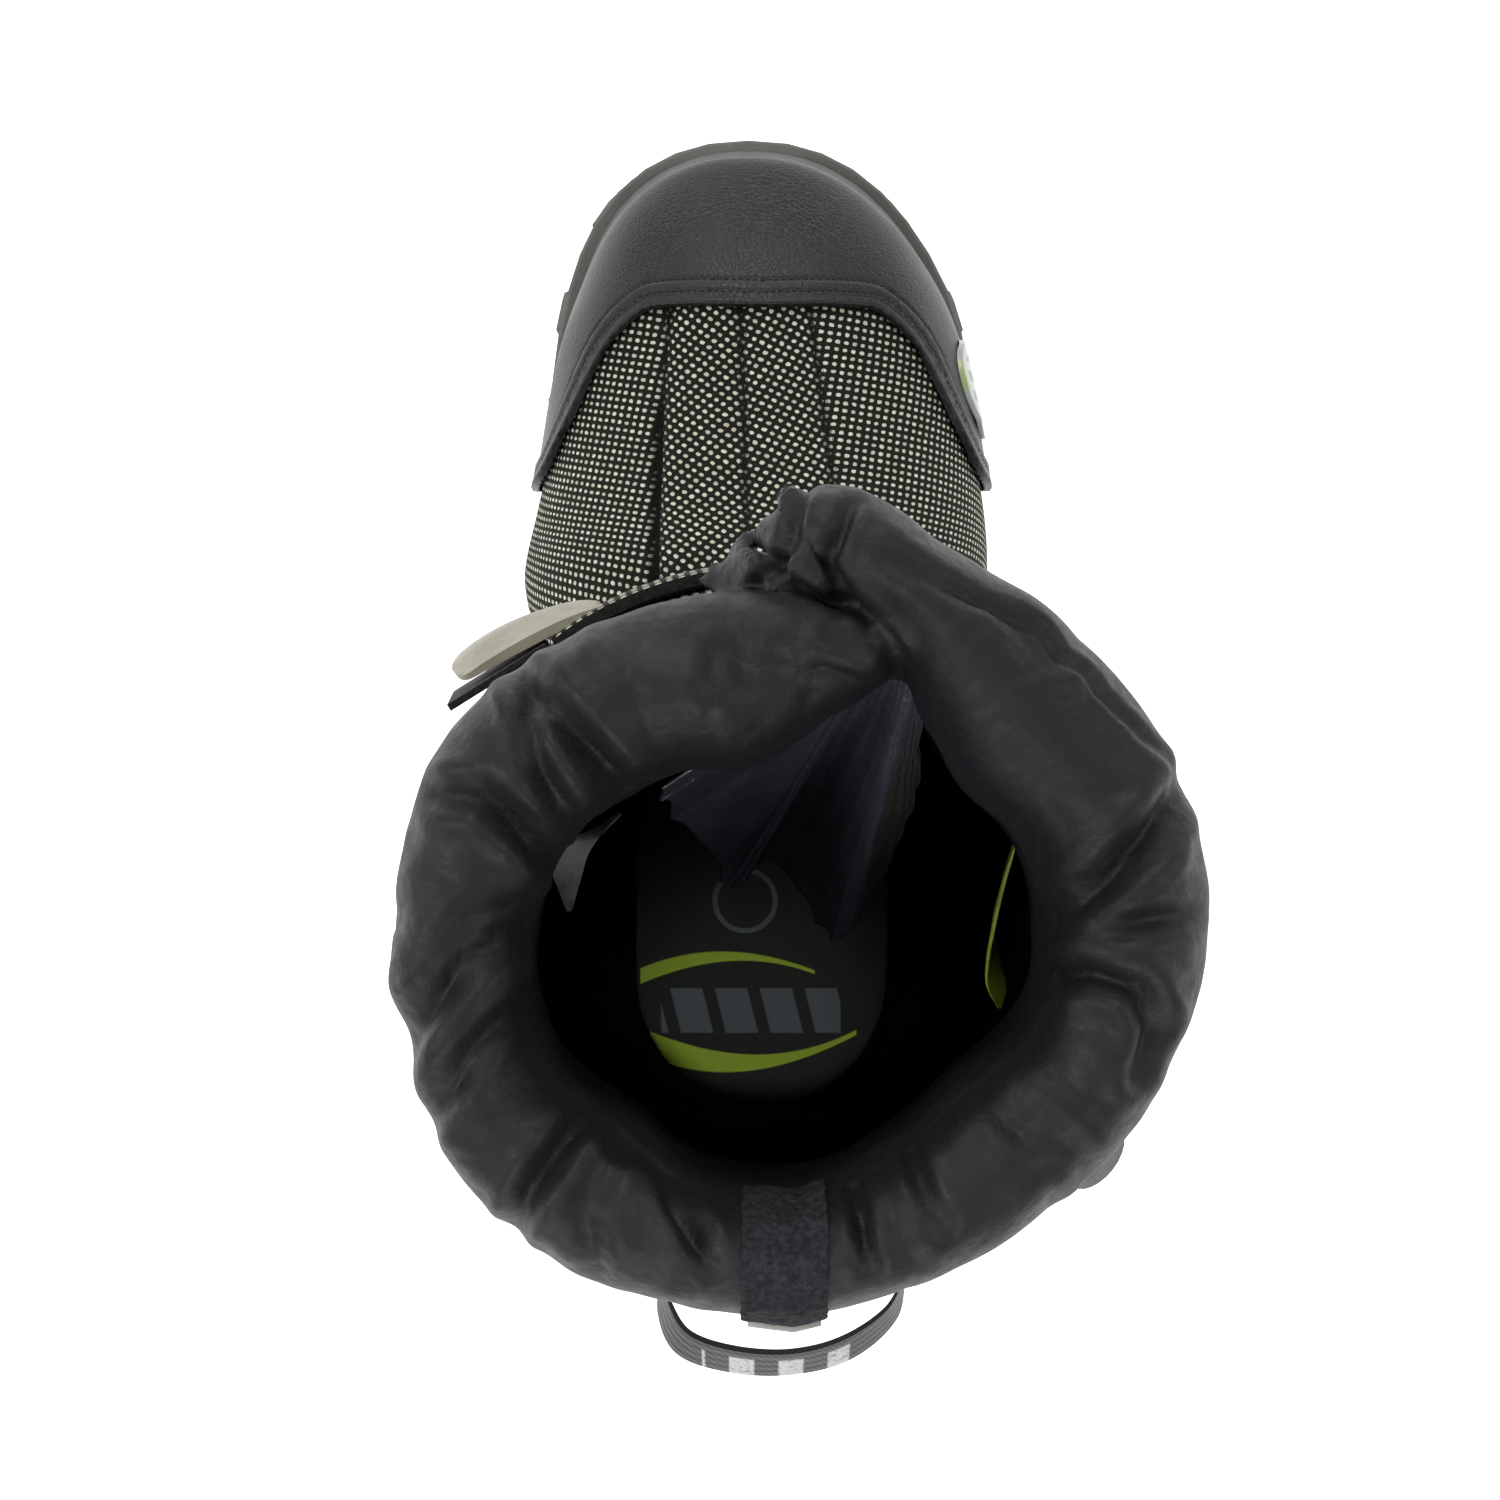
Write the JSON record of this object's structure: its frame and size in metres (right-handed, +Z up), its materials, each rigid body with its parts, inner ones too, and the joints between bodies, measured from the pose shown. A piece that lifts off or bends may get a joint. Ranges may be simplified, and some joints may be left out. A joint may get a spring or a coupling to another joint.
{
  "type": "winter overshoe",
  "caption": "Right insulated pull-over winter boot for wear over a work shoe: lugged rubber cup sole, woven shaft, moulded toe cap and a padded nylon roll round the open top.",
  "frame": {"origin": "on the floor under the middle of the heel", "axes": "+Z up, +Y to the toe, +X to the lateral side of this right shoe"},
  "size_m": [0.1674, 0.3193, 0.3384],
  "materials": {
    "sole_rubber": "matte",
    "insole_cloth": "matte",
    "tweed": "woven two-tone",
    "cap_leather": "satin",
    "badge_plastic": "gloss",
    "roll_nylon": "satin ripstop",
    "gusset_nylon": "glossy",
    "tab_plastic": "satin",
    "hook_cloth": "matte",
    "webbing": "woven",
    "patch_reflective": "satin",
    "ring_plastic": "gloss",
    "lime_plastic": "gloss",
    "label_plastic": "gloss"
  },
  "bodies": {
    "root": {"outsole": "sole_rubber", "insole": "insole_cloth", "upper": "tweed", "toe_cap": "cap_leather", "badge": "badge_plastic", "collar": "roll_nylon", "gusset": "gusset_nylon", "front_flap": "tweed", "flap_tab": "tab_plastic", "hook_strip": "hook_cloth", "back_tape": "webbing", "back_patch": "patch_reflective", "pull_loop": "webbing", "side_ring": "ring_plastic", "inner_tab": "lime_plastic", "inner_label": "label_plastic"}
  },
  "joints": []
}
